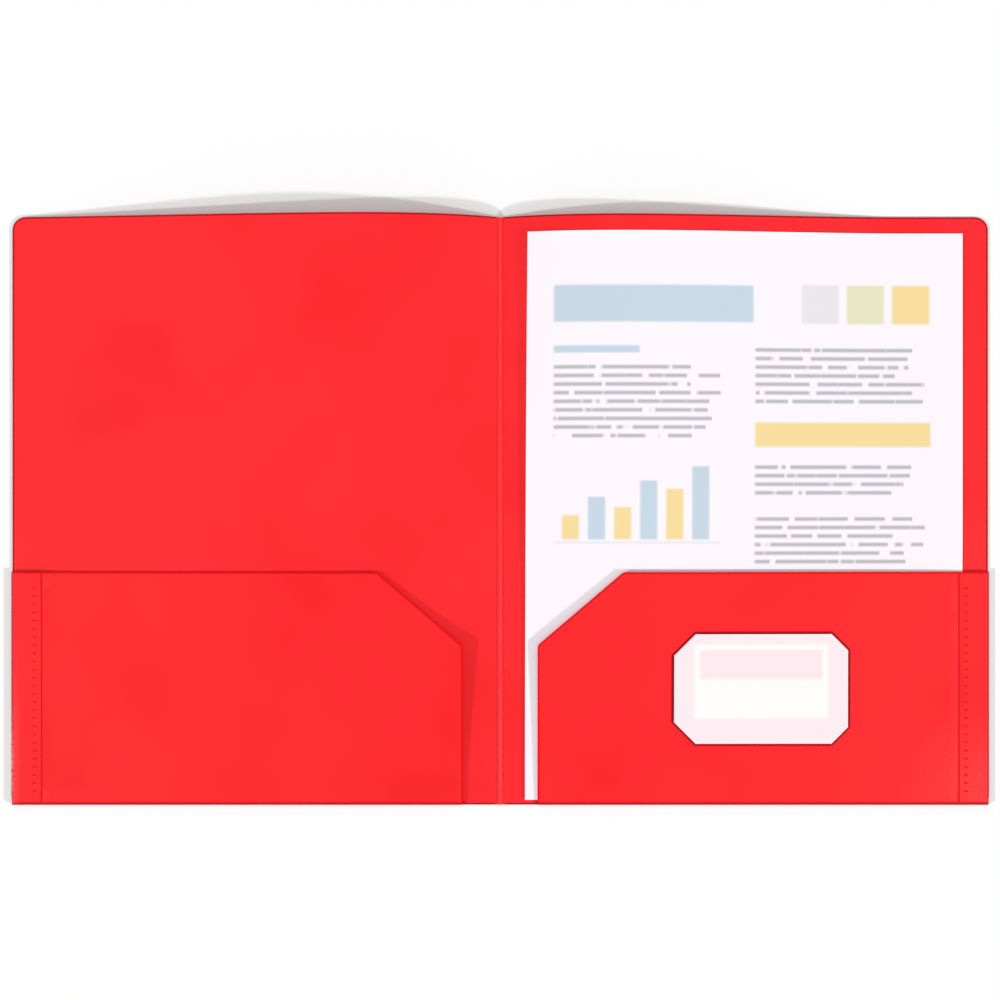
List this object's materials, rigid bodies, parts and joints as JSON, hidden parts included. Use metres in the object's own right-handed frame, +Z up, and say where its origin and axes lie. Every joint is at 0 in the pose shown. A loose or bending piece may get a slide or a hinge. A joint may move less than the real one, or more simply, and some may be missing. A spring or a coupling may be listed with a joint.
{
  "type": "two pocket folder",
  "caption": "Flat plastic folder that opens like a book, with a low welded pocket on each inside cover, a label card tucked in slits and a loose document sheet.",
  "frame": {"origin": "middle of the open folder on the surface that it lies on, under the spine", "axes": "+X from the spine to the outer edge of the back cover, +Y along the spine to the top edge, +Z up out of the open inside"},
  "size_m": [0.4826, 0.29, 0.0017],
  "materials": {
    "red_polypropylene": "satin, fine grained sheet",
    "white_paper": "uncoated, lightly printed",
    "label_card": "smooth card"
  },
  "bodies": {
    "back_cover": {"back_cover": "red_polypropylene", "back_bottom_fold": "red_polypropylene", "back_side_fold": "red_polypropylene", "back_side_tab": "red_polypropylene", "back_pocket": "red_polypropylene", "back_weld_spots": "red_polypropylene", "label_card": "label_card"},
    "spine": {"spine_strip": "red_polypropylene", "front_crease": "red_polypropylene", "back_crease": "red_polypropylene"},
    "front_cover": {"front_cover": "red_polypropylene", "front_bottom_fold": "red_polypropylene", "front_side_fold": "red_polypropylene", "front_side_tab": "red_polypropylene", "front_pocket": "red_polypropylene", "front_weld_spots": "red_polypropylene"},
    "document": {"document_sheet": "white_paper"}
  },
  "joints": [
    {"name": "spine_fold", "type": "hinge", "parent": "back_cover", "child": "spine", "pos_m": [0.0016, 0, 0.00025], "axis": [0, 1, 0], "range_deg": [0, 90]},
    {"name": "cover_fold", "type": "hinge", "parent": "spine", "child": "front_cover", "pos_m": [-0.0016, 0, 0.00025], "axis": [0, 1, 0], "range_deg": [0, 90]},
    {"name": "document_slide", "type": "slide", "parent": "back_cover", "child": "document", "axis": [0, 1, 0], "range_m": [0, 0.3]}
  ],
  "couplings": [
    {"joint": "cover_fold", "follows": "spine_fold", "ratio": 1}
  ]
}
